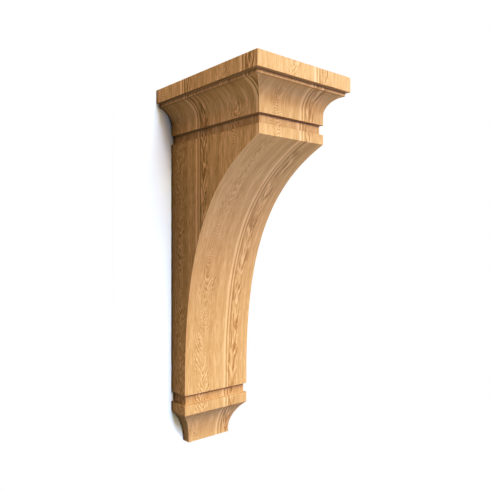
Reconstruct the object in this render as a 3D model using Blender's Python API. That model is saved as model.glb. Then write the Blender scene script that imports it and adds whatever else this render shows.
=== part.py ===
"""Wooden corbel bracket, carved in one piece and fixed by its flat back to a wall.

Metres, +Z up. The origin is the middle of the back face, the wall is the plane y = 0
and the front of the corbel looks along -Y.

Every level cut through the corbel is a rectangle with its back edge on the wall. Its
mouldings run the same profile across the front and along both sides, and meet in mitred
corners. So each moulding below is a short function that yields stations, from the top
down, and the whole solid is one loft through them.
"""
import math

import bmesh
import bpy
from mathutils import Vector
from mathutils.geometry import interpolate_bezier

MM = 0.001

# Overall sizes
HEIGHT = 508.0 * MM
BODY_WIDTH = 114.0 * MM
BODY_DEPTH = 190.8 * MM        # wall to the front of the upper body and of the band

# Cap: a flat slab on a narrow fillet
SLAB_THICKNESS = 19.05 * MM
SLAB_OVERHANG = 25.3 * MM      # beyond the body's face, at the front and at each side
FILLET_THICKNESS = 5.25 * MM
FILLET_OVERHANG = 20.45 * MM

# Cove under the fillet, a hollow that dies into the body's upright face
COVE_RADIUS = 27.0 * MM
NECK_BOTTOM = 62.1 * MM        # below the top of the slab

# Groove and band at the head of the body
GROOVE_HEIGHT = 12.65 * MM
GROOVE_RECESS = 3.65 * MM
BAND_HEIGHT = 12.75 * MM

# Sweep: the long hollow curve of the front, from the band down to the lower groove
SWEEP_FOOT_DEPTH = 35.1 * MM   # wall to the front at the bottom of the sweep
SWEEP_FOOT_RISE = 75.4 * MM    # above the bottom of the corbel
SWEEP_START_SLOPE = math.radians(24.0)   # below the level, leaving the band
SWEEP_START_PULL = 155.0 * MM
SWEEP_END_PULL = 133.0 * MM

# Lower groove, the block under it, and the foot
LOWER_GROOVE_HEIGHT = 13.6 * MM
LOWER_GROOVE_RECESS = 3.5 * MM
LOWER_BLOCK_HEIGHT = 14.5 * MM
FOOT_COVE_RADIUS = 57.0 * MM
FOOT_INSET = 20.2 * MM         # from the block's face to the bottom of the foot
FOOT_UPRIGHT = 3.2 * MM        # height of the cove's centre, where the foot is upright

# Facets of the curved faces
COVE_STEPS = 20
SWEEP_STEPS = 64
FOOT_STEPS = 24

SMOOTH_BELOW = math.radians(25.0)

# Levels, worked out from the sizes above
TOP = HEIGHT / 2
BOTTOM = -HEIGHT / 2
SLAB_BOTTOM = TOP - SLAB_THICKNESS
FILLET_BOTTOM = SLAB_BOTTOM - FILLET_THICKNESS
GROOVE_TOP = TOP - NECK_BOTTOM
GROOVE_BOTTOM = GROOVE_TOP - GROOVE_HEIGHT
BAND_BOTTOM = GROOVE_BOTTOM - BAND_HEIGHT
SWEEP_BOTTOM = BOTTOM + SWEEP_FOOT_RISE
LOWER_BLOCK_TOP = SWEEP_BOTTOM - LOWER_GROOVE_HEIGHT
LOWER_BLOCK_BOTTOM = LOWER_BLOCK_TOP - LOWER_BLOCK_HEIGHT


def station(z, depth, spread):
    """A level rectangle: its height, half width and depth, spread beyond the body's face."""
    return z, BODY_WIDTH / 2 + spread, depth + spread


def plain(top, bottom, depth, spread):
    """An upright stretch, flat on the front and both sides."""
    yield station(top, depth, spread)
    yield station(bottom, depth, spread)


def cap():
    yield from plain(TOP, SLAB_BOTTOM, BODY_DEPTH, SLAB_OVERHANG)
    yield from plain(SLAB_BOTTOM, FILLET_BOTTOM, BODY_DEPTH, FILLET_OVERHANG)


def cove():
    """A round hollow from the fillet's lower edge to where it meets the body's face."""
    start = math.asin((COVE_RADIUS - FILLET_OVERHANG) / COVE_RADIUS)
    centre_z = FILLET_BOTTOM - COVE_RADIUS * math.cos(start)
    for step in range(1, COVE_STEPS + 1):
        angle = start + (math.pi / 2 - start) * step / COVE_STEPS
        spread = COVE_RADIUS * (1 - math.sin(angle))
        yield station(centre_z + COVE_RADIUS * math.cos(angle), BODY_DEPTH, spread)


def neck_and_band():
    """The plain neck under the cove, a groove round the body, and the band below it."""
    yield station(GROOVE_TOP, BODY_DEPTH, 0)
    yield from plain(GROOVE_TOP, GROOVE_BOTTOM, BODY_DEPTH, -GROOVE_RECESS)
    yield from plain(GROOVE_BOTTOM, BAND_BOTTOM, BODY_DEPTH, 0)


def sweep():
    """The hollow front: it leaves the band at a slope and ends upright."""
    head = Vector((BODY_DEPTH, BAND_BOTTOM))
    foot = Vector((SWEEP_FOOT_DEPTH, SWEEP_BOTTOM))
    slope = Vector((-math.cos(SWEEP_START_SLOPE), -math.sin(SWEEP_START_SLOPE)))
    head_handle = head + slope * SWEEP_START_PULL
    foot_handle = foot + Vector((0, SWEEP_END_PULL))
    points = interpolate_bezier(head, head_handle, foot_handle, foot, SWEEP_STEPS + 1)
    for depth, z in points[1:]:
        yield station(z, depth, 0)


def lower_block():
    """A second groove, and the block that stands out below it."""
    recess = -LOWER_GROOVE_RECESS
    yield from plain(SWEEP_BOTTOM, LOWER_BLOCK_TOP, SWEEP_FOOT_DEPTH, recess)
    yield from plain(LOWER_BLOCK_TOP, LOWER_BLOCK_BOTTOM, SWEEP_FOOT_DEPTH, 0)


def foot():
    """A cove that draws the block in to the narrow foot, upright at the bottom."""
    centre_z = BOTTOM + FOOT_UPRIGHT
    reach = LOWER_BLOCK_BOTTOM - centre_z
    start = math.asin(reach / FOOT_COVE_RADIUS)
    for step in range(1, FOOT_STEPS + 1):
        angle = start * (1 - step / FOOT_STEPS)
        inset = FOOT_INSET - FOOT_COVE_RADIUS * (1 - math.cos(angle))
        yield station(centre_z + FOOT_COVE_RADIUS * math.sin(angle), SWEEP_FOOT_DEPTH, -inset)
    yield station(BOTTOM, SWEEP_FOOT_DEPTH, -FOOT_INSET)


def stations():
    for moulding in (cap, cove, neck_and_band, sweep, lower_block, foot):
        yield from moulding()


def loft(bm, levels):
    """Front and sides as strips of quads, then the top, the bottom and one flat back."""
    rings = []
    for z, half_width, depth in levels:
        corners = ((-half_width, 0), (-half_width, -depth), (half_width, -depth), (half_width, 0))
        rings.append([bm.verts.new((x, y, z)) for x, y in corners])
    for upper, lower in zip(rings, rings[1:]):
        for side in range(3):
            bm.faces.new((upper[side], lower[side], lower[side + 1], upper[side + 1]))
    bm.faces.new(rings[0])
    bm.faces.new(rings[-1])
    left_edge = [ring[0] for ring in rings]
    right_edge = [ring[3] for ring in reversed(rings)]
    bm.faces.new(left_edge + right_edge)
    bmesh.ops.recalc_face_normals(bm, faces=bm.faces)


def oak():
    """Pale oak, planed and sanded, under a thin clear coat."""
    material = bpy.data.materials.new("sanded_oak")
    material.use_nodes = True
    shader = material.node_tree.nodes["Principled BSDF"]
    shader.inputs["Base Color"].default_value = (0.69, 0.43, 0.21, 1.0)
    shader.inputs["Roughness"].default_value = 0.45
    shader.inputs["Metallic"].default_value = 0.0
    return material


def corbel():
    bm = bmesh.new()
    loft(bm, stations())
    mesh = bpy.data.meshes.new("corbel")
    bm.to_mesh(mesh)
    bm.free()
    mesh.shade_smooth()
    mesh.set_sharp_from_angle(angle=SMOOTH_BELOW)
    mesh.materials.append(oak())
    piece = bpy.data.objects.new("corbel", mesh)
    bpy.context.scene.collection.objects.link(piece)
    return piece


def main():
    for item in list(bpy.data.objects):
        bpy.data.objects.remove(item, do_unlink=True)
    corbel()


main()
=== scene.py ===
"""A carved oak corbel bracket on a white wall, with its stage, lights and camera.

Metres, +Z up. The wall is the plane y = 0 and the front of the corbel looks along -Y.
The block is carved again here from its named sizes, with every arris eased, and takes a
procedural oak whose scales are real millimetres.
"""
from collections import namedtuple
import math

import bmesh
import bpy
from bpy.props import FloatProperty, FloatVectorProperty, PointerProperty
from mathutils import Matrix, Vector
from mathutils.geometry import interpolate_bezier


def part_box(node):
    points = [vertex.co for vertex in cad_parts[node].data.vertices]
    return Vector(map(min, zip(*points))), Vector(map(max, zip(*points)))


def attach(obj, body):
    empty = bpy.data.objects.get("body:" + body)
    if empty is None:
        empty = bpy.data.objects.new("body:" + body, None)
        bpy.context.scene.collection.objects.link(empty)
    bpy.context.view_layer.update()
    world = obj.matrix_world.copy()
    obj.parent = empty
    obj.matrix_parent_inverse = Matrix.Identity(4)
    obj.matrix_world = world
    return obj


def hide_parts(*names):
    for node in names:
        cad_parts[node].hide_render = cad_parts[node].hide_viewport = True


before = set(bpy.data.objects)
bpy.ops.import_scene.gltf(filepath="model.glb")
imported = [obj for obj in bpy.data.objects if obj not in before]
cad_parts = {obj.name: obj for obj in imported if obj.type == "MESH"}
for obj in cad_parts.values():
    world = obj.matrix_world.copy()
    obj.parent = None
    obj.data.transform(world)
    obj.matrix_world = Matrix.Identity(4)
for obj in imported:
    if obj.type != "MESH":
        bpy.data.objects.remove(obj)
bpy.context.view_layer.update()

bl_info = {
    "name": "Wooden Corbel Bracket",
    "version": (1, 0, 0),
    "blender": (4, 5, 0),
    "location": "3D View > Sidebar > Corbel",
    "description": "Carves an oak corbel bracket and sets it on a plain lit wall",
    "category": "Object",
}

MM = 0.001
NODE = "corbel"
CAD_LOW, CAD_HIGH = (Vector(corner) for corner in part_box(NODE))


def linear(hex_colour):
    """An sRGB hex colour, such as "#D6A875", as linear red, green and blue."""
    channels = (int(hex_colour[i:i + 2], 16) / 255 for i in (1, 3, 5))
    return tuple(c / 12.92 if c <= 0.04045 else ((c + 0.055) / 1.055) ** 2.4 for c in channels)


def length(name, description, default_mm):
    """A property that holds a length, given in millimetres."""
    return FloatProperty(name=name, description=description, default=default_mm * MM,
                         min=0.0, subtype="DISTANCE", unit="LENGTH")


def colour(name, description, hex_colour):
    """A property that holds a colour, given as sRGB hex."""
    return FloatVectorProperty(name=name, description=description, size=3, subtype="COLOR",
                               default=linear(hex_colour), min=0.0, max=1.0)


class CorbelForm(bpy.types.PropertyGroup):
    """Sizes of the mouldings. Overhangs and recesses are measured from the body's face."""
    slab_thickness: length("Slab thickness", "Thickness of the cap's flat slab", 19.05)
    slab_overhang: length("Slab overhang", "How far the slab stands out", 25.3)
    fillet_thickness: length("Fillet thickness", "Height of the narrow step under the slab", 5.25)
    fillet_overhang: length("Fillet overhang", "How far that step stands out", 20.45)
    cove_radius: length("Cove radius", "Radius of the hollow under the cap", 27.0)
    neck_bottom: length("Neck bottom", "From the top down to the upper groove", 62.1)
    groove_height: length("Groove height", "Height of the upper groove", 12.65)
    groove_recess: length("Groove recess", "Depth of the upper groove", 3.65)
    band_height: length("Band height", "Height of the band under the groove", 12.75)
    sweep_foot_depth: length("Sweep foot depth", "Depth of the body at the sweep's foot", 35.1)
    sweep_foot_rise: length("Sweep foot rise", "Height of the sweep's foot", 75.4)
    sweep_start_pull: length("Sweep start pull", "Bezier handle at the band", 155.0)
    sweep_end_pull: length("Sweep end pull", "Bezier handle at the sweep's foot", 133.0)
    sweep_start_slope: FloatProperty(
        name="Sweep start slope", description="Slope of the sweep where it leaves the band",
        default=math.radians(24.0), subtype="ANGLE", unit="ROTATION")
    lower_groove_height: length("Lower groove height", "Height of the lower groove", 13.6)
    lower_groove_recess: length("Lower groove recess", "Depth of the lower groove", 3.5)
    lower_block_height: length("Lower block height", "Height of the block under it", 14.5)
    foot_cove_radius: length("Foot cove radius", "Radius of the foot's hollow", 57.0)
    foot_inset: length("Foot inset", "How far the foot draws in", 20.2)
    foot_upright: length("Foot upright", "Height at which the foot stands upright", 3.2)
    arris: length("Arris", "Radius to which the edges are sanded", 0.35)


class CorbelWood(bpy.types.PropertyGroup):
    """Colours and figure of the oak, and where its boards meet."""
    pale: colour("Pale wood", "Oak in the lightest growth lines", "#F4C99B")
    mid: colour("Mid wood", "Oak between the growth lines", "#D6A875")
    deep: colour("Deep wood", "Oak in the dark growth lines", "#AD7F49")
    end: colour("End grain", "Oak cut across the grain", "#BE966B")
    end_dark: colour("End grain rings", "Early wood and pores in the end grain", "#6A4B30")
    # The colour of the painted shade under the overhangs, on the ledges and along the wall
    shade_colour: colour("Corner_shade", "Oil and dust gathered in the inner corners", "#613E21")
    side_figure: FloatProperty(
        name="Side figure", description="How much stronger the figure of the side faces is",
        default=0.6, min=0.0, max=1.0, subtype="FACTOR")
    stave_width: length("Stave width", "Width of the boards glued into the block", 124.0)
    joint_at: length("Joint", "Distance of the glue joint from the middle of the front", 17.0)
    line_spacing: length("Line spacing", "Spacing of the straight growth lines", 4.2)


class CorbelStage(bpy.types.PropertyGroup):
    """Wall, floor, lights and lens."""
    wall: colour("Wall", "Painted wall", "#E1E1E1")
    floor: colour("Floor", "Pale floor", "#EFEDEA")
    floor_drop: length("Floor drop", "From the corbel's foot down to the floor", 480.0)
    light_strength: FloatProperty(name="Light strength", description="Light of the soft boxes",
                                  default=1.0, min=0.0, subtype="FACTOR", soft_max=2.0)
    room_strength: FloatProperty(name="Room strength", description="Light from all round",
                                 default=1.0, min=0.0, subtype="FACTOR", soft_max=2.0)
    lens: FloatProperty(name="Lens", description="Focal length on a 36 mm wide sensor",
                        default=39.11 * MM, subtype="DISTANCE_CAMERA", unit="CAMERA")


# Facets of the carved block, and the turns from which an edge is shaded as sharp and a
# corner of the front's outline is eased
COVE_STEPS = 28
SWEEP_STEPS = 72
FOOT_STEPS = 26
ARRIS_STEPS = 3
SIDE_STEPS = 10
FRONT_STEPS = 12
SHARP_FROM = math.radians(38.0)
EASE_FROM = math.radians(25.0)
RIM = 1.0 * MM              # how far beside an arris its painted highlight reaches
ARRIS_LIGHT = "lit_arris"               # the mesh attribute that holds the painted highlight


def plain(top, bottom, half_width, depth):
    """An upright stretch, as stations of height, half width and depth."""
    return [(top, half_width, depth), (bottom, half_width, depth)]


def carved_profile(form):
    """Stations of height, half width and depth, from the slab's top to the foot."""
    top, bottom = CAD_HIGH.z, CAD_LOW.z
    half = CAD_HIGH.x - form.slab_overhang
    deep = -CAD_LOW.y - form.slab_overhang

    slab_bottom = top - form.slab_thickness
    fillet_bottom = slab_bottom - form.fillet_thickness
    out = form.slab_overhang
    stations = plain(top, slab_bottom, half + out, deep + out)
    out = form.fillet_overhang
    stations += plain(slab_bottom, fillet_bottom, half + out, deep + out)

    radius = form.cove_radius
    start = math.asin((radius - form.fillet_overhang) / radius)
    centre_z = fillet_bottom - radius * math.cos(start)
    for step in range(1, COVE_STEPS + 1):
        angle = start + (math.pi / 2 - start) * step / COVE_STEPS
        out = radius * (1 - math.sin(angle))
        stations.append((centre_z + radius * math.cos(angle), half + out, deep + out))

    groove_top = top - form.neck_bottom
    groove_bottom = groove_top - form.groove_height
    band_bottom = groove_bottom - form.band_height
    recess = form.groove_recess
    stations.append((groove_top, half, deep))
    stations += plain(groove_top, groove_bottom, half - recess, deep - recess)
    stations += plain(groove_bottom, band_bottom, half, deep)

    sweep_foot = form.sweep_foot_depth
    sweep_bottom = bottom + form.sweep_foot_rise
    head = Vector((deep, band_bottom))
    foot = Vector((sweep_foot, sweep_bottom))
    slope = Vector((-math.cos(form.sweep_start_slope), -math.sin(form.sweep_start_slope)))
    head_handle = head + slope * form.sweep_start_pull
    foot_handle = foot + Vector((0, form.sweep_end_pull))
    curve = interpolate_bezier(head, head_handle, foot_handle, foot, SWEEP_STEPS + 1)
    stations += [(z, half, depth) for depth, z in curve[1:]]

    block_top = sweep_bottom - form.lower_groove_height
    block_bottom = block_top - form.lower_block_height
    recess = form.lower_groove_recess
    stations += plain(sweep_bottom, block_top, half - recess, sweep_foot - recess)
    stations += plain(block_top, block_bottom, half, sweep_foot)

    radius = form.foot_cove_radius
    centre_z = bottom + form.foot_upright
    start = math.asin((block_bottom - centre_z) / radius)
    for step in range(1, FOOT_STEPS + 1):
        angle = start * (1 - step / FOOT_STEPS)
        inset = form.foot_inset - radius * (1 - math.cos(angle))
        stations.append((centre_z + radius * math.sin(angle), half - inset, sweep_foot - inset))
    stations.append((bottom, half - form.foot_inset, sweep_foot - form.foot_inset))
    return stations


def eased(stations, radius):
    """The same stations with each outward corner of the front's outline rounded.

    Each comes with its share of the painted highlight: 1 on a rounded arris, and 0 from a rim
    beyond it.
    """
    path = [Vector(station) for station in stations]
    # Past its ends the outline goes on inward, over the top and along the underside
    inward = Vector((0, 2 * RIM, 2 * RIM))
    path = [path[0] - inward] + path + [path[-1] - inward]
    rounded = []
    for before, corner, after in zip(path, path[1:], path[2:]):
        to_before, to_after = before - corner, after - corner
        back = Vector((to_before.z, to_before.x))
        on = Vector((to_after.z, to_after.x))
        outward = back.x * on.y < back.y * on.x
        inner = back.angle(on)
        if not outward or math.pi - inner < EASE_FROM:
            rounded.append((corner, 0.0))
            continue
        tangent = radius / math.tan(inner / 2)
        start = corner + to_before * (tangent / back.length)
        end = corner + to_after * (tangent / on.length)
        rounded.append((start + to_before * (RIM / back.length), 0.0))
        for step in range(ARRIS_STEPS + 1):
            t = step / ARRIS_STEPS
            # With this weight on the corner, the curve from start to end is an arc
            middle = 2 * t * (1 - t) * math.sin(inner / 2)
            whole = (1 - t) ** 2 + middle + t ** 2
            point = (start * (1 - t) ** 2 + corner * middle + end * t ** 2) / whole
            rounded.append((point, 1.0))
        rounded.append((end + to_after * (RIM / on.length), 0.0))
    return rounded


def ring(half_width, depth, arris):
    """One level's outline, from the back left corner round the front to the back right.

    Each point comes with its share of the painted highlight, as in eased.
    """
    reach_x = half_width - arris
    reach_y = depth - arris
    side_end, front_start = reach_y - RIM, reach_x - RIM
    left = [(-half_width, -side_end * step / SIDE_STEPS, 0.0) for step in range(SIDE_STEPS + 1)]
    for step in range(ARRIS_STEPS + 1):
        angle = math.pi / 2 * step / ARRIS_STEPS
        left.append((-reach_x - arris * math.cos(angle), -reach_y - arris * math.sin(angle), 1.0))
    left += [(-front_start * (1 - step / FRONT_STEPS), -depth, 0.0)
             for step in range(FRONT_STEPS)]
    middle = [(0.0, -depth, 0.0)]
    right = [(-x, y, arris_share) for x, y, arris_share in reversed(left)]
    return left + middle + right


def carve(form):
    """Loft the eased stations into one closed block with a single flat back."""
    bm = bmesh.new()
    # Each point's share of the painted highlight along the arrises
    lit_arris = bm.verts.layers.float.new(ARRIS_LIGHT)
    rings = []
    for (z, half_width, depth), level_arris_share in eased(carved_profile(form), form.arris):
        level = []
        for x, y, arris_share in ring(half_width, depth, form.arris):
            corner = bm.verts.new((x, y, z))
            corner[lit_arris] = max(arris_share, level_arris_share)
            level.append(corner)
        rings.append(level)
    for upper, lower in zip(rings, rings[1:]):
        for i in range(len(upper) - 1):
            bm.faces.new((upper[i], lower[i], lower[i + 1], upper[i + 1]))
    bm.faces.new(rings[0])
    bm.faces.new(rings[-1])
    bm.faces.new([r[0] for r in rings] + [r[-1] for r in reversed(rings)])
    bmesh.ops.recalc_face_normals(bm, faces=bm.faces)
    mesh = bpy.data.meshes.new("carved_corbel")
    bm.to_mesh(mesh)
    bm.free()
    mesh.shade_smooth()
    mesh.set_sharp_from_angle(angle=SHARP_FROM)
    return mesh


# A Mix node has two inputs and an output for each kind of value that it mixes
VECTOR_A, VECTOR_B, COLOUR_A, COLOUR_B = 4, 5, 6, 7
MIXED_VECTOR, MIXED_COLOUR = 1, 2


def add_node(tree, kind, inputs=None, output=0, **settings):
    """Add a shader node, with its settings and with each input set or linked.

    Inputs go by name, or by number as Blender counts them. A Math node's terms are 0, 1 and
    2, and a MapRange takes the range from 1 to 2 over to the range from 3 to 4.
    """
    node = tree.nodes.new("ShaderNode" + kind)
    for name, value in settings.items():
        setattr(node, name, value)
    for key, value in (inputs or {}).items():
        if isinstance(value, bpy.types.NodeSocket):
            tree.links.new(value, node.inputs[key])
        else:
            node.inputs[key].default_value = value
    return node if output is None else node.outputs[output]


# Which face a point is on, each from 0 to 1; how the grain runs there; and a column of arches
Faces = namedtuple("Faces", "side right back cut slant")
Grain = namedtuple("Grain", "in_stave across along seed straight curly")
Column = namedtuple("Column", "centre half_width roundness slope spacing ring ragged broken")

# How a face is told by its normal: by X on the right side and Y on the back. By Z the
# surface goes over to end grain, and counts more and more as slanted.
RIGHT_FROM = 0.3
BACK_FROM = 0.5
CUT_FROM, CUT_BY = 0.93, 0.97
SLANT_FROM, SLANT_BY = 0.1, 0.9


def face_masks(tree):
    """Where the surface is a side, the right side or the back, is end grain, or slants."""
    facing = add_node(tree, "NewGeometry", output="True Normal")
    signed = add_node(tree, "SeparateXYZ", {0: facing}, output=None).outputs
    bare = add_node(tree, "VectorMath", {0: facing}, operation="ABSOLUTE")
    size = add_node(tree, "SeparateXYZ", {0: bare}, output=None).outputs
    side = add_node(tree, "Math", {0: size["X"], 1: size["Y"]}, operation="GREATER_THAN")
    right = add_node(tree, "Math", {0: signed["X"], 1: RIGHT_FROM}, operation="GREATER_THAN")
    right = add_node(tree, "Math", {0: right, 1: side}, operation="MULTIPLY")
    back = add_node(tree, "Math", {0: signed["Y"], 1: BACK_FROM}, operation="GREATER_THAN")
    cut = add_node(tree, "MapRange", {"Value": size["Z"], 1: CUT_FROM, 2: CUT_BY})
    slant = add_node(tree, "MapRange", {"Value": size["Z"], 1: SLANT_FROM, 2: SLANT_BY})
    return Faces(side, right, back, cut, slant)


SEED_STEP = (5.1, 3.3, 7.7)     # how many cells a seed of 1 moves the noise each way


def streaks(tree, place, wide, long, seed, detail):
    """Noise drawn out along the grain, from 0 to 1, in cells of so many mm wide and long."""
    scaled = add_node(tree, "VectorMath", {0: place, 1: (1 / wide, 1 / long, 1.0)},
                      operation="MULTIPLY")
    moved = add_node(tree, "VectorMath", {0: scaled, 1: [seed * step for step in SEED_STEP]},
                     operation="ADD")
    return add_node(tree, "TexNoise", {"Vector": moved, "Scale": 1.0, "Detail": detail})


def darkness_at(tree, place, marks, blend="LINEAR"):
    """How dark a ring or a stave is at a place, between marks of place and darkness."""
    node = add_node(tree, "ValToRGB", {0: place}, output=None)
    ramp = node.color_ramp
    ramp.interpolation = blend
    while len(ramp.elements) < len(marks):
        ramp.elements.new(0.5)
    for element, (position, grey) in zip(ramp.elements, marks):
        element.position = position
        element.color = (grey, grey, grey, 1.0)
    return node.outputs["Color"]


def total(tree, *terms):
    """The sum of terms, each a value and its weight."""
    run = 0.0
    for value, weight in terms:
        run = add_node(tree, "Math", {0: value, 1: weight, 2: run}, operation="MULTIPLY_ADD")
    return run


def weighed(tree, layers, weights):
    """The sum of the named layers by their weights."""
    return total(tree, *((layers[name], weight) for name, weight in weights.items()))


# How far a face's staves are moved against the front's, in mm
SIDE_SHIFT = -50.0
RIGHT_SHIFT = 31.0
BACK_SHIFT = 50.0
BACK_NUMBER = 3.0           # the front is face 0, the left side 1 and the right side 2
# What the next stave and the next face add to the seed, so that no two look alike, and how
# far along the grain, in mm, a seed of 1 moves the pattern
STAVE_SEED = 3.7
FACE_SEED = 11.3
SEED_RUN = 87.0
# The grain bends a little all over, and wavers within the figure: how far, in mm, and the
# streaks that do it, with a cell's width and length in mm, seed and detail
BEND, BENDING = 8.0, (60.0, 150.0, 1.0, 1.0)
CURL, CURLING = 6.0, (9.0, 22.0, 2.0, 1.0)


def lie_of_grain(tree, place, faces, wood):
    """Where a point lies in its stave, and how the grain runs there, in mm."""
    depth = add_node(tree, "Math", {0: place["Y"], 1: -1.0, 2: SIDE_SHIFT},
                     operation="MULTIPLY_ADD")
    sideways = add_node(tree, "Mix", {"Factor": faces.side, "A": place["X"], "B": depth})
    shifted = total(tree, (faces.right, RIGHT_SHIFT), (faces.back, BACK_SHIFT),
                    (sideways, 1.0))
    from_joint = add_node(tree, "Math", {0: shifted, 1: wood.joint_at / MM},
                          operation="SUBTRACT")
    width = wood.stave_width / MM
    staves = add_node(tree, "Math", {0: from_joint, 1: 1 / width}, operation="MULTIPLY")
    stave = add_node(tree, "Math", {0: staves}, operation="FLOOR")
    in_stave = add_node(tree, "Math", {0: staves, 1: stave}, operation="SUBTRACT")
    across = add_node(tree, "Math", {0: in_stave, 1: width}, operation="MULTIPLY")

    face = total(tree, (faces.side, 1.0), (faces.right, 1.0), (faces.back, BACK_NUMBER))
    seed = total(tree, (stave, STAVE_SEED), (face, FACE_SEED))
    along = add_node(tree, "Math", {0: seed, 1: SEED_RUN, 2: place["Z"]},
                     operation="MULTIPLY_ADD")
    point = add_node(tree, "CombineXYZ", {0: across, 1: along, 2: seed})
    paths = []
    for amount, cells in ((BEND, BENDING), (CURL, CURLING)):
        moved = total(tree, (streaks(tree, point, *cells), amount), (across, 1.0))
        across = add_node(tree, "Math", {0: moved, 1: amount / 2}, operation="SUBTRACT")
        paths.append(add_node(tree, "CombineXYZ", {0: across, 1: along, 2: seed}))
    return Grain(in_stave, across, along, seed, *paths)


# Tone bands that run straight up the whole height: millimetres from a stave's joint, and
# darkness. The close ones at both ends are the light and dark lines beside the joint.
STAVE_TONES = ((0.0, 0.95), (1.0, 0.50), (2.2, 0.0), (3.4, 0.50), (4.8, 1.0), (6.5, 0.50),
               (9.0, 0.35), (12.0, 0.38), (16.0, 0.46), (20.0, 0.45), (25.0, 0.62),
               (29.0, 0.44), (33.0, 0.58), (36.0, 0.44), (40.0, 0.56), (60.0, 0.43),
               (72.0, 0.48), (77.0, 0.48), (84.0, 0.44), (90.0, 0.54), (97.0, 0.54),
               (102.0, 0.44), (107.0, 0.46), (112.0, 0.54), (117.0, 0.50), (120.6, 0.0),
               (122.6, 0.45), (124.0, 0.95))
# One ring of the flames, of the chevrons and of the end grain: place in it and darkness
FLAME_RING = ((0.0, 0.35), (0.05, 0.0), (0.11, 0.05), (0.18, 0.45), (0.35, 0.70),
              (0.55, 1.00), (0.70, 0.80), (0.80, 0.40), (0.90, 0.55), (1.0, 0.35))
CHEVRON_RING = ((0.0, 0.50), (0.20, 0.0), (0.40, 0.45), (0.65, 1.0), (0.85, 0.60), (1.0, 0.50))
END_RING = ((0.0, 1.0), (0.25, 0.75), (0.45, 0.30), (0.80, 0.15), (0.95, 0.45), (1.0, 1.0))

# The columns of arches. Centre, half width, roundness of the points and ring spacing are in
# mm; ragged says what bends the rings, and by how many rings; broken is the strokes' weight.
FLAMES = Column(centre=13.0, half_width=8.0, roundness=1.0, slope=4.2, spacing=30.0,
                ring=FLAME_RING, ragged={"fibres": 1.2, "flicks": 0.8, "clouds": 1.5},
                broken=2.6)
CHEVRONS = Column(centre=78.0, half_width=8.0, roundness=2.5, slope=1.3, spacing=4.4,
                  ring=CHEVRON_RING, ragged={"flicks": 2.0, "clouds": 3.0, "regions": 10.0},
                  broken=0.0)
WIDE_CHEVRONS = Column(centre=80.0, half_width=13.0, roundness=2.0, slope=2.4, spacing=10.0,
                       ring=CHEVRON_RING, ragged={"flicks": 1.8, "clouds": 1.0}, broken=1.0)
# Where a column has faded out and where it is full, in half widths from its middle
COLUMN_END, COLUMN_FULL = 1.35, 0.6
# The strokes that break a column up: width in half widths, length in rings, seed and detail
STROKES = (0.4, 0.3, 11.0, 1.0)


def in_column(tree, grain, column):
    """1 in the middle of a column of arches, fading to 0 beyond its edges."""
    near = add_node(tree, "Math", {0: grain.across, 1: column.centre}, operation="SUBTRACT")
    near = add_node(tree, "Math", {0: near}, operation="ABSOLUTE")
    return add_node(tree, "MapRange", {"Value": near, 1: COLUMN_END * column.half_width,
                                       2: COLUMN_FULL * column.half_width},
                    interpolation_type="SMOOTHSTEP")


def arches(tree, grain, layers, column):
    """Growth rings cut at a slant: a column of nested arches that point down the grain.

    Gives their darkness, centred on 0.
    """
    off = add_node(tree, "Math", {0: grain.across, 1: column.centre}, operation="SUBTRACT")
    rounded = add_node(tree, "Math", {0: off, 1: off, 2: column.roundness ** 2},
                       operation="MULTIPLY_ADD")
    rounded = add_node(tree, "Math", {0: rounded}, operation="SQRT")
    height = add_node(tree, "Math", {0: rounded, 1: -column.slope, 2: grain.along},
                      operation="MULTIPLY_ADD")
    ragged = weighed(tree, layers, column.ragged)
    turns = add_node(tree, "Math", {0: height, 1: 1 / column.spacing, 2: ragged},
                     operation="MULTIPLY_ADD")
    turns = add_node(tree, "Math", {0: turns}, operation="FRACT")
    rings = darkness_at(tree, turns, column.ring, "EASE")
    unrolled = add_node(tree, "CombineXYZ", {0: off, 1: height, 2: grain.seed})
    wide, long, *noise = STROKES
    strokes = streaks(tree, unrolled, wide * column.half_width, long * column.spacing, *noise)
    figure = total(tree, (rings, 1.0), (strokes, column.broken))
    mean = (1.0 + column.broken) / 2
    figure = add_node(tree, "Math", {0: figure, 1: mean}, operation="SUBTRACT")
    return add_node(tree, "Math", {0: figure, 1: in_column(tree, grain, column)},
                    operation="MULTIPLY")


# Streaks that run with the straight or the curly grain: a cell's width and length in mm,
# seed and detail. Fibres of about 0.3 mm are drawn 1.3 mm wide, or they wouldn't show, and
# pores of about 0.2 by 3 mm are drawn 1.0 by 7 mm for the same reason. Bands are broad
# straight tones, clouds soft lights and darks, and flicks short dashes. Regions say where
# the chevrons are wide, and patches darken the column of flames.
STREAKS = {
    "bands": ("straight", 7.0, 300.0, 4.0, 1.0),
    "fibres": ("straight", 1.3, 17.0, 6.0, 2.0),
    "pores": ("straight", 1.0, 7.0, 9.0, 0.0),
    "clouds": ("curly", 12.0, 26.0, 7.0, 1.0),
    "flicks": ("curly", 3.0, 12.0, 8.0, 2.0),
    "regions": ("curly", 60.0, 50.0, 10.0, 0.0),
    "patches": ("curly", 10.0, 22.0, 12.0, 1.0),
}
# The straight growth lines: width in spacings, length in mm, seed and detail
LINES = (0.36, 110.0, 5.0, 2.0)
# Ranges of a streak's value: where pores and patches set in and are full, where the figure
# goes from faint to strong, how faint, and where the chevrons go from fine to wide
PORES_OPEN = (0.60, 0.74)
PATCHES_SHOW = (0.45, 0.62)
FIGURE_SHOWS = (0.38, 0.60)
FAINTEST_FIGURE = 0.25
CHEVRONS_WIDEN = (0.45, 0.55)
# How much fainter the chevrons are in a face cut steeply across the grain, and on the sides
SLANT_QUIET = 0.6
SIDE_QUIET = 0.35


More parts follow.
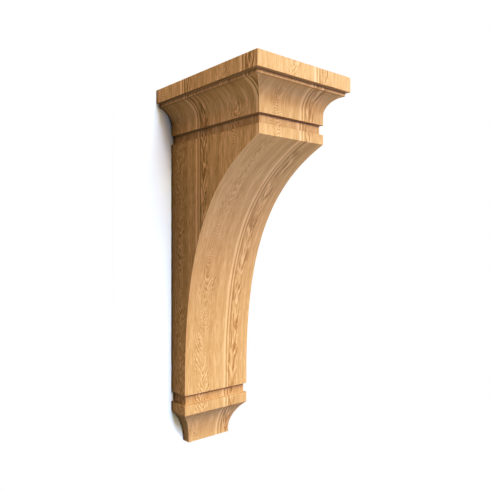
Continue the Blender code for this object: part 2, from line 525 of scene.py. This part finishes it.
def growth_layers(tree, grain, faces, wood):
    """The layers of the oak's growth by name, each a darkness."""
    layers = {name: streaks(tree, getattr(grain, path), *cells)
              for name, (path, *cells) in STREAKS.items()}
    wide, *rest = LINES
    layers["lines"] = streaks(tree, grain.straight, wide * wood.line_spacing / MM, *rest)
    width = wood.stave_width / MM
    layers["tones"] = darkness_at(tree, grain.in_stave,
                                  [(place / width, tone) for place, tone in STAVE_TONES])

    strong = add_node(tree, "MapRange", {"Value": layers["clouds"], 1: FIGURE_SHOWS[0],
                                         2: FIGURE_SHOWS[1], 3: FAINTEST_FIGURE, 4: 1.0})
    flames = arches(tree, grain, layers, FLAMES)
    layers["flames"] = add_node(tree, "Math", {0: flames, 1: strong}, operation="MULTIPLY")
    widen = add_node(tree, "MapRange", {"Value": layers["regions"], 1: CHEVRONS_WIDEN[0],
                                        2: CHEVRONS_WIDEN[1]})
    chevrons = add_node(tree, "Mix", {"Factor": widen,
                                      "A": arches(tree, grain, layers, CHEVRONS),
                                      "B": arches(tree, grain, layers, WIDE_CHEVRONS)})
    quiet = total(tree, (faces.slant, -SLANT_QUIET), (faces.side, -SIDE_QUIET))
    quiet = add_node(tree, "Math", {0: quiet, 1: 1.0}, operation="ADD")
    for share in (strong, quiet):
        chevrons = add_node(tree, "Math", {0: chevrons, 1: share}, operation="MULTIPLY")
    layers["chevrons"] = chevrons

    for name, (first, full) in (("pores", PORES_OPEN), ("patches", PATCHES_SHOW)):
        layers[name] = add_node(tree, "MapRange", {"Value": layers[name], 1: first, 2: full})
    layers["patches"] = add_node(tree, "Math", {0: layers["patches"],
                                                1: in_column(tree, grain, FLAMES)},
                                 operation="MULTIPLY")
    return layers


# Painted shade: a tight dark line at an inner corner, under an overhang and along the wall,
# and a faint darkening further from it: reach in mm, and darkness at the corner
TIGHT = (3.0, 0.90)
FAINT = (2.4, 0.15)
UNDER_FILLET = (10.0, 0.14)
UNDER_NECK = (12.6, 0.05)
ON_LEDGE = (12.6, 0.19)
IN_GROOVE = (13.6, 0.22)
UNDER_BLOCK = (22.0, 0.34)
AT_WALL = (6.0, 0.75)


def painted_shade(tree, place, form):
    """Painted shade: darker under the overhangs, on the ledges and along the wall."""
    top, bottom = CAD_HIGH.z, CAD_LOW.z
    slab_bottom = top - form.slab_thickness
    fillet_bottom = slab_bottom - form.fillet_thickness
    neck = top - form.neck_bottom
    sweep_bottom = bottom + form.sweep_foot_rise
    block_top = sweep_bottom - form.lower_groove_height
    block_bottom = block_top - form.lower_block_height
    under = ((slab_bottom, TIGHT), (fillet_bottom, UNDER_FILLET), (neck, TIGHT),
             (neck, UNDER_NECK), (sweep_bottom, TIGHT), (sweep_bottom, IN_GROOVE),
             (block_bottom, UNDER_BLOCK))
    over = ((neck - form.groove_height, ON_LEDGE), (block_top, FAINT))
    wall = ((0.0, AT_WALL),)
    run = 0.0
    for levels, axis, sign in ((under, "Z", 1.0), (over, "Z", -1.0), (wall, "Y", 1.0)):
        for level, (reach, strength) in levels:
            away = add_node(tree, "Math", {0: place[axis], 1: -sign, 2: sign * level / MM},
                            operation="MULTIPLY_ADD")
            beyond = add_node(tree, "Math", {0: away, 1: 0.0}, operation="GREATER_THAN")
            near = add_node(tree, "MapRange", {"Value": away, 1: 0.0, 2: reach,
                                               3: strength, 4: 0.0})
            run = add_node(tree, "Math", {0: near, 1: beyond, 2: run},
                           operation="MULTIPLY_ADD")
    return run


# End grain, in mm: the pith's place in x and y for the staves left and right of the joint,
# the spacing of the growth rings, how many rings they wander, the second joint's y, and how
# far from its middle a glue line has faded out and is full
PITH_LEFT = (-40.0, 55.0)
PITH_RIGHT = (75.0, 40.0)
RING_SPACING = 3.8
RINGS_WANDER = 5.0
CROSS_JOINT_AT = -67.0
JOINT_END, JOINT_FULL = 0.6, 0.2
# Streaks as above. Pores of about 0.3 mm are drawn 0.8 mm wide, or they wouldn't show
END_WANDER = (70.0, 70.0, 13.0, 1.0)
END_PORES = (0.8, 0.8, 14.0, 0.0)
END_CLOUDS = (14.0, 14.0, 15.0, 2.0)
END_PORES_OPEN = (0.52, 0.70)
END_DARKNESS = {"rings": 0.30, "pores": 0.24, "clouds": 0.22}
END_JOINT_DARKNESS = 0.5


def end_grain(tree, place, wood):
    """Oak cut across the grain: wide growth rings, open pores in each and two glue joints."""
    joint = wood.joint_at / MM
    beyond = add_node(tree, "Math", {0: place["X"], 1: joint}, operation="GREATER_THAN")
    centre = add_node(tree, "Mix", {"Factor": beyond, VECTOR_A: (*PITH_LEFT, 0.0),
                                    VECTOR_B: (*PITH_RIGHT, 0.0)},
                      output=MIXED_VECTOR, data_type="VECTOR")
    level = add_node(tree, "CombineXYZ", {0: place["X"], 1: place["Y"]})
    away = add_node(tree, "VectorMath", {0: level, 1: centre}, operation="DISTANCE",
                    output="Value")
    wander = streaks(tree, level, *END_WANDER)
    turns = total(tree, (away, 1 / RING_SPACING), (wander, RINGS_WANDER))
    turns = add_node(tree, "Math", {0: turns}, operation="FRACT")
    pores = add_node(tree, "MapRange", {"Value": streaks(tree, level, *END_PORES),
                                        1: END_PORES_OPEN[0], 2: END_PORES_OPEN[1]})
    layers = {"rings": darkness_at(tree, turns, END_RING), "pores": pores,
              "clouds": streaks(tree, level, *END_CLOUDS)}
    run = weighed(tree, layers, END_DARKNESS)
    for axis, at in (("X", joint), ("Y", CROSS_JOINT_AT)):
        off = add_node(tree, "Math", {0: place[axis], 1: at}, operation="SUBTRACT")
        off = add_node(tree, "Math", {0: off}, operation="ABSOLUTE")
        line = add_node(tree, "MapRange", {"Value": off, 1: JOINT_END, 2: JOINT_FULL})
        run = add_node(tree, "Math", {0: line, 1: END_JOINT_DARKNESS, 2: run},
                       operation="MULTIPLY_ADD")
    return add_node(tree, "Mix", {"Factor": run, COLOUR_A: (*wood.end, 1.0),
                                  COLOUR_B: (*wood.end_dark, 1.0)},
                    output=MIXED_COLOUR, data_type="RGBA")


# What each layer adds to the oak's darkness, the mean that is taken away again, and where
# the mid colour lies between pale and deep
DARKNESS = {"tones": 1.0, "bands": 0.11, "lines": 0.23, "fibres": 0.84, "flicks": 0.10,
            "flames": 1.10, "chevrons": 0.88, "pores": 0.10, "patches": 0.22}
MEAN_DARKNESS = 1.165
MID_PLACE = 0.45
BACK_FIGURE = -0.45         # how much stronger the figure of the back is
# Share of the end grain's dark colour in a face that is cut steeply across the grain, and
# how much less of it the sides take
SLANT_DARKNESS = 0.22
SIDE_SLANT = -0.5
# Share of the pale wood's colour on an arris: a painted highlight along the edge
ARRIS_HIGHLIGHT = 0.5
# Spacing, in mm, and relief of the faint marks that the planer's knives leave on the back
PLANER_SPACING = 6.0
PLANER_RELIEF = 0.25
# Relief of the growth, how strongly the bump shows it, and the depth that a relief of 1 has
RELIEF = {"fibres": 0.10, "pores": -0.35, "lines": 0.05}
RELIEF_STRENGTH = 0.3
RELIEF_DEPTH = 0.25 * MM
# Roughness under the sheen, and what fibres, pores, end grain and the unfinished back add
ROUGHNESS = 0.50
ROUGHER = {"fibres": 0.10, "pores": 0.15}
ROUGHER_CUT = 0.12
ROUGHER_BACK = 0.15


def oak_colour(tree, place, faces, layers, wood, form):
    """The oak's colour: its growth, painted shade, a painted highlight on the arrises, and the
    end grain.
    """
    dark = weighed(tree, layers, DARKNESS)
    dark = add_node(tree, "Math", {0: dark, 1: MEAN_DARKNESS}, operation="SUBTRACT")
    figured = total(tree, (faces.side, wood.side_figure), (faces.back, BACK_FIGURE))
    figured = add_node(tree, "Math", {0: figured, 1: 1.0}, operation="ADD")
    dark = add_node(tree, "Math", {0: dark, 1: figured, 2: MID_PLACE},
                    operation="MULTIPLY_ADD")
    tinted = add_node(tree, "ValToRGB", {0: dark}, output=None)
    ramp = tinted.color_ramp
    ramp.elements[0].color = (*wood.pale, 1.0)
    ramp.elements[1].color = (*wood.deep, 1.0)
    ramp.elements.new(MID_PLACE).color = (*wood.mid, 1.0)

    not_back = add_node(tree, "Math", {0: 1.0, 1: faces.back}, operation="SUBTRACT")
    # Painted shade: the shade colour under the overhangs, on the ledges and along the wall, but
    # not on the back
    shade_share = add_node(tree, "Math", {0: painted_shade(tree, place, form), 1: not_back},
                     operation="MULTIPLY", use_clamp=True)
    shown = add_node(tree, "Math", {0: faces.side, 1: SIDE_SLANT, 2: 1.0},
                     operation="MULTIPLY_ADD")
    slanted = add_node(tree, "Math", {0: faces.slant, 1: shown}, operation="MULTIPLY")
    slanted = add_node(tree, "Math", {0: slanted, 1: SLANT_DARKNESS}, operation="MULTIPLY")
    # A painted highlight: the pale wood's colour along each rounded arris, but not on the back
    lit_arris = add_node(tree, "Attribute", output="Fac", attribute_name=ARRIS_LIGHT)
    lit_arris = total(tree, (lit_arris, ARRIS_HIGHLIGHT), (faces.back, -1.0))
    lit_arris = add_node(tree, "Math", {0: lit_arris, 1: 0.0}, operation="MAXIMUM")
    surface = tinted.outputs["Color"]
    # Mixed in turn: painted shade, the end grain's colour on slanted faces, and a painted
    # highlight
    for share, tint in ((shade_share, wood.shade_colour), (slanted, wood.end_dark), (lit_arris, wood.pale)):
        surface = add_node(tree, "Mix", {"Factor": share, COLOUR_A: surface,
                                         COLOUR_B: (*tint, 1.0)},
                           output=MIXED_COLOUR, data_type="RGBA")
    return add_node(tree, "Mix", {"Factor": faces.cut, COLOUR_A: surface,
                                  COLOUR_B: end_grain(tree, place, wood)},
                    output=MIXED_COLOUR, data_type="RGBA")


def oak(wood, form):
    """European oak, planed, sanded and given a thin clear satin oil.

    Flat-sawn boards show straight growth lines with two columns of nested arches, open
    pores as short dark dashes, and a warm depth in the late wood. Sanding leaves the fibres
    just felt, and the oil gives a broad soft sheen.
    """
    material = bpy.data.materials.new("oiled_oak")
    material.use_nodes = True
    tree = material.node_tree
    faces = face_masks(tree)
    home = add_node(tree, "TexCoord", output="Object")
    in_mm = add_node(tree, "VectorMath", {0: home, "Scale": 1 / MM}, operation="SCALE")
    place = add_node(tree, "SeparateXYZ", {0: in_mm}, output=None).outputs
    grain = lie_of_grain(tree, place, faces, wood)
    layers = growth_layers(tree, grain, faces, wood)

    planer = add_node(tree, "Math", {0: place["Z"], 1: math.tau / PLANER_SPACING},
                      operation="MULTIPLY")
    planer = add_node(tree, "Math", {0: planer}, operation="SINE")
    planer = add_node(tree, "Math", {0: planer, 1: faces.back}, operation="MULTIPLY")
    relief = total(tree, (weighed(tree, layers, RELIEF), 1.0), (planer, PLANER_RELIEF))
    bump = add_node(tree, "Bump", {"Height": relief, "Strength": RELIEF_STRENGTH,
                                   "Distance": RELIEF_DEPTH})
    rough = total(tree, (weighed(tree, layers, ROUGHER), 1.0), (faces.cut, ROUGHER_CUT),
                  (faces.back, ROUGHER_BACK))
    rough = add_node(tree, "Math", {0: rough, 1: ROUGHNESS}, operation="ADD")

    shader = tree.nodes["Principled BSDF"]
    tree.links.new(oak_colour(tree, place, faces, layers, wood, form),
                   shader.inputs["Base Color"])
    tree.links.new(rough, shader.inputs["Roughness"])
    tree.links.new(bump, shader.inputs["Normal"])
    # Oiled wood has an index near 1.5; this is lowered to the weak sheen of the photograph.
    # The oil film is too thin to mirror.
    shader.inputs["IOR"].default_value = 1.40
    shader.inputs["Coat Weight"].default_value = 0.05
    shader.inputs["Coat Roughness"].default_value = 0.35
    return material


def painted(name, tint, seen):
    """Matt emulsion paint that throws an ordinary light on the wood, and looks as seen does."""
    material = bpy.data.materials.new(name)
    material.use_nodes = True
    tree = material.node_tree
    tree.nodes.remove(tree.nodes["Principled BSDF"])
    ordinary = add_node(tree, "BsdfDiffuse", {"Color": (*tint, 1.0)})
    camera_ray = add_node(tree, "LightPath", output="Is Camera Ray")
    paint = add_node(tree, "MixShader", {0: camera_ray, 1: ordinary, 2: seen(tree)})
    tree.links.new(paint, tree.nodes["Material Output"].inputs["Surface"])
    return material


def burnt_out(tree):
    """Plain white, as a pale surface comes out where the exposure suits the wood."""
    return add_node(tree, "Emission", {"Color": (1.0, 1.0, 1.0, 1.0), "Strength": 1.0})


HIDDEN_EDGE = 0.4 * MM      # the wall reaches this far behind the corbel's edges
WALL_GAP = 0.2 * MM
SHADOW_REACH = 110.0 * MM   # width of the strip of wall that the corbel's shadow falls on
# How much brighter than the paint that strip reflects, in red, green and blue, which makes
# the shadow as light there as in the photograph
SHADOW_GAIN = (5.2, 5.85, 6.75)
# The shadow's core, painted darker: how wide and how tall it is beside the body, under the
# cap, and what share of the strip's brightness is left there
CORE_WIDTH = 27.0 * MM
CORE_DROP = 110.0 * MM
CORE_SHARE = (0.13, 0.28, 0.88)


def shaded_wall(tree, tint, form):
    """A wall that is burnt out but for the shadow's strip, with a painted darker core."""
    home = add_node(tree, "TexCoord", output="Object")
    place = add_node(tree, "SeparateXYZ", {0: home}, output=None).outputs
    slab_bottom = CAD_HIGH.z - form.slab_thickness
    body_edge = -CAD_HIGH.x + form.slab_overhang
    foot_edge = body_edge + form.foot_inset + HIDDEN_EDGE
    inside = add_node(tree, "Math", {0: place["X"], 1: foot_edge}, operation="LESS_THAN")
    outside = add_node(tree, "Math", {0: place["X"], 1: foot_edge - SHADOW_REACH},
                       operation="GREATER_THAN")
    low = add_node(tree, "Math", {0: place["Z"], 1: slab_bottom}, operation="LESS_THAN")
    strip = add_node(tree, "Math", {0: inside, 1: outside}, operation="MULTIPLY")
    strip = add_node(tree, "Math", {0: strip, 1: low}, operation="MULTIPLY")
    beside = add_node(tree, "MapRange", {"Value": place["X"], 1: body_edge - CORE_WIDTH,
                                         2: body_edge})
    below = add_node(tree, "MapRange", {"Value": place["Z"], 1: slab_bottom - CORE_DROP,
                                        2: slab_bottom})
    # The painted shadow core beside the body and under the cap
    core = add_node(tree, "Math", {0: beside, 1: below}, operation="MULTIPLY")

    lit = [channel * gain for channel, gain in zip(tint, SHADOW_GAIN)]
    deepest = [channel * share for channel, share in zip(lit, CORE_SHARE)]
    shade = add_node(tree, "Mix", {"Factor": core, COLOUR_A: (*lit, 1.0),
                                   COLOUR_B: (*deepest, 1.0)},
                     output=MIXED_COLOUR, data_type="RGBA")
    shadow = add_node(tree, "BsdfDiffuse", {"Color": shade})
    seen = add_node(tree, "MixShader", {0: strip, 1: burnt_out(tree), 2: shadow})
    behind = add_node(tree, "NewGeometry", output="Backfacing")
    clear = add_node(tree, "BsdfTransparent")
    return add_node(tree, "MixShader", {0: behind, 1: seen, 2: clear})


class CORBEL_OT_carve(bpy.types.Operator):
    """Carve the corbel and finish it in oak"""
    bl_idname = "corbel.carve"
    bl_label = "Carve the corbel"

    def execute(self, context):
        scene = context.scene
        mesh = carve(scene.corbel_form)
        mesh.materials.append(oak(scene.corbel_wood, scene.corbel_form))
        piece = bpy.data.objects.new("carved_corbel", mesh)
        scene.collection.objects.link(piece)
        piece.modifiers.new("even_shading", "WEIGHTED_NORMAL").keep_sharp = True
        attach(piece, "root")
        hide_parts(NODE)
        return {"FINISHED"}


def sheet(name, corners, faces, material):
    """A flat stage surface."""
    mesh = bpy.data.meshes.new(name)
    mesh.from_pydata(corners, [], faces)
    mesh.materials.append(material)
    surface = bpy.data.objects.new(name, mesh)
    bpy.context.scene.collection.objects.link(surface)
    # The oil's sheen comes from the soft boxes alone
    surface.visible_glossy = False
    return surface


STAGE_REACH = 3.0           # how far wall and floor reach from the middle, in metres


def wall_sheet(form, floor_z, material):
    """The wall, open behind the corbel so that its back is lit when seen from behind."""
    levels = [(z, half - HIDDEN_EDGE) for z, half, depth in carved_profile(form)]
    (top, top_half), (bottom, bottom_half) = levels[0], levels[-1]
    top, bottom = top - HIDDEN_EDGE, bottom + HIDDEN_EDGE
    levels = [(STAGE_REACH, top_half), (top, top_half), *levels[1:-1],
              (bottom, bottom_half), (floor_z, bottom_half)]
    corners, faces = [], []
    for side in (-1, 1):
        first = len(corners)
        for z, half in levels:
            corners += [(side * half, WALL_GAP, z), (side * STAGE_REACH, WALL_GAP, z)]
        for low in range(first, len(corners) - 2, 2):
            face = (low, low + 1, low + 3, low + 2)
            faces.append(face if side < 0 else face[::-1])
    for z, half, far in ((top, top_half, STAGE_REACH), (bottom, bottom_half, floor_z)):
        start = len(corners)
        corners += [(-half, WALL_GAP, z), (half, WALL_GAP, z),
                    (half, WALL_GAP, far), (-half, WALL_GAP, far)]
        face = (start, start + 1, start + 2, start + 3)
        faces.append(face if far > z else face[::-1])
    sheet("wall", corners, faces, material)


def towards(elevation, azimuth):
    """A direction from degrees above the level and degrees to the right of straight ahead."""
    rise, turn = math.radians(elevation), math.radians(azimuth)
    return Vector((math.sin(turn) * math.cos(rise), -math.cos(turn) * math.cos(rise),
                   math.sin(rise)))


CORBEL_MIDDLE = Vector((0.0, -0.1, 0.0))    # what the soft boxes face
BOX_SPREAD = 0.47           # a soft box's width for each metre of its distance
# Elevation and azimuth in degrees, distance in metres, strength and tint. They were fitted
# to the photograph's mean colour on each face; the one behind lights the plain back.
SOFT_BOXES = {
    "key": (58.0, 42.0, 6.0, 10.3, (0.91, 0.90, 1.0)),
    "right": (14.0, 56.0, 6.0, 4.4, (0.72, 0.79, 1.0)),
    "front_right": (36.0, 28.0, 6.0, 6.0, (1.0, 0.76, 0.32)),
    "front": (36.0, 0.0, 6.0, 3.4, (0.63, 0.77, 1.0)),
    "low_right": (-30.0, 56.0, 6.0, 4.1, (0.92, 0.89, 1.0)),
    "under_right": (-52.0, 84.0, 6.0, 2.7, (0.78, 0.91, 1.0)),
    "high_left": (58.0, -84.0, 1.7, 2.15, (1.0, 0.77, 0.26)),
    "below": (-75.0, -84.0, 6.0, 2.3, (0.85, 1.0, 0.83)),
    "behind": (8.0, 180.0, 6.0, 8.5, (1.0, 1.0, 1.0)),
}


def soft_box(name, direction, distance, strength, tint):
    """A square area light that faces the middle of the corbel."""
    light = bpy.data.lights.new(name, "AREA")
    light.shape = "SQUARE"
    light.size = BOX_SPREAD * distance
    light.energy = strength * distance ** 2
    light.color = tint
    lamp = bpy.data.objects.new(name, light)
    lamp.location = CORBEL_MIDDLE + direction * distance
    lamp.rotation_euler = direction.to_track_quat("Z", "Y").to_euler()
    bpy.context.scene.collection.objects.link(lamp)


ROOM_LEVEL = 0.01           # light from all round at a room strength of 1


def room_light(strength):
    """Even light from all round; the room itself is seen as plain white."""
    world = bpy.data.worlds.new("room")
    bpy.context.scene.world = world
    world.use_nodes = True
    tree = world.node_tree
    ambient = tree.nodes["Background"]
    ambient.inputs["Color"].default_value = (1.0, 1.0, 1.0, 1.0)
    ambient.inputs["Strength"].default_value = strength
    seen = add_node(tree, "Background", {"Color": (1.0, 1.0, 1.0, 1.0), "Strength": 1.0})
    camera_ray = add_node(tree, "LightPath", output="Is Camera Ray")
    both = add_node(tree, "MixShader", {0: camera_ray, 1: ambient.outputs[0], 2: seen})
    tree.links.new(both, tree.nodes["World Output"].inputs["Surface"])


# The photograph's finish between black and white, as scene light and picture light: deep
# shadows and clear mid tones
CONTRAST = ((0.01, 0.004), (0.03, 0.015), (0.13, 0.092), (0.32, 0.29), (0.60, 0.62))
ALL_CHANNELS = 3            # the curve that acts on red, green and blue at once


def finish_picture(view):
    """Give the picture the photograph's contrast."""
    view.view_transform = "Standard"
    view.look = "None"
    view.use_curve_mapping = True
    curve = view.curve_mapping.curves[ALL_CHANNELS]
    for scene_light, picture_light in CONTRAST:
        curve.points.new(scene_light, picture_light)
    view.curve_mapping.update()


# Where the photograph was taken from, in metres, and which way it looks, on the level
CAMERA_PLACE = (-0.4785, -0.6587, 0.0341)
CAMERA_AHEAD = (0.6494, 0.7605, 0.0)
SENSOR_WIDTH = 36.0


class CORBEL_OT_stage(bpy.types.Operator):
    """Set up the wall, the floor, the lights and the camera"""
    bl_idname = "corbel.stage"
    bl_label = "Set the stage"

    def execute(self, context):
        scene = context.scene
        stage = scene.corbel_stage
        finish_picture(scene.view_settings)

        floor_z = CAD_LOW.z - stage.floor_drop
        wall_sheet(scene.corbel_form, floor_z,
                   painted("matt_wall_paint", stage.wall,
                           lambda tree: shaded_wall(tree, stage.wall, scene.corbel_form)))
        corners = [(x * STAGE_REACH, y * STAGE_REACH, floor_z)
                   for x, y in ((-1, -1), (1, -1), (1, 1), (-1, 1))]
        floor = sheet("floor", corners, [(0, 1, 2, 3)],
                      painted("matt_floor_paint", stage.floor, burnt_out))
        # The soft boxes below shine through the floor
        floor.visible_shadow = False
        floor.visible_diffuse = False

        for name, (elevation, azimuth, distance, strength, tint) in SOFT_BOXES.items():
            soft_box(name, towards(elevation, azimuth), distance,
                     strength * stage.light_strength, tint)
        room_light(ROOM_LEVEL * stage.room_strength)

        camera = bpy.data.cameras.new("camera")
        camera.sensor_width = SENSOR_WIDTH
        camera.lens = stage.lens / MM
        viewer = bpy.data.objects.new("camera", camera)
        viewer.location = CAMERA_PLACE
        viewer.rotation_euler = Vector(CAMERA_AHEAD).to_track_quat("-Z", "Y").to_euler()
        scene.collection.objects.link(viewer)
        scene.camera = viewer
        return {"FINISHED"}


class CORBEL_PT_panel(bpy.types.Panel):
    """Sizes, wood and stage of the corbel"""
    bl_label = "Corbel"
    bl_idname = "CORBEL_PT_panel"
    bl_space_type = "VIEW_3D"
    bl_region_type = "UI"
    bl_category = "Corbel"

    def draw(self, context):
        scene = context.scene
        for group in (scene.corbel_form, scene.corbel_wood, scene.corbel_stage):
            box = self.layout.box()
            for name in group.__annotations__:
                box.prop(group, name)
        self.layout.operator(CORBEL_OT_carve.bl_idname)
        self.layout.operator(CORBEL_OT_stage.bl_idname)


CLASSES = (CorbelForm, CorbelWood, CorbelStage, CORBEL_OT_carve, CORBEL_OT_stage,
           CORBEL_PT_panel)


def register():
    for cls in CLASSES:
        bpy.utils.register_class(cls)
    bpy.types.Scene.corbel_form = PointerProperty(type=CorbelForm)
    bpy.types.Scene.corbel_wood = PointerProperty(type=CorbelWood)
    bpy.types.Scene.corbel_stage = PointerProperty(type=CorbelStage)


def unregister():
    del bpy.types.Scene.corbel_stage
    del bpy.types.Scene.corbel_wood
    del bpy.types.Scene.corbel_form
    for cls in reversed(CLASSES):
        bpy.utils.unregister_class(cls)


def main():
    """Set the stage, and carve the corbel."""
    register()
    bpy.ops.corbel.stage()
    bpy.ops.corbel.carve()


if __name__ == "__main__":
    main()
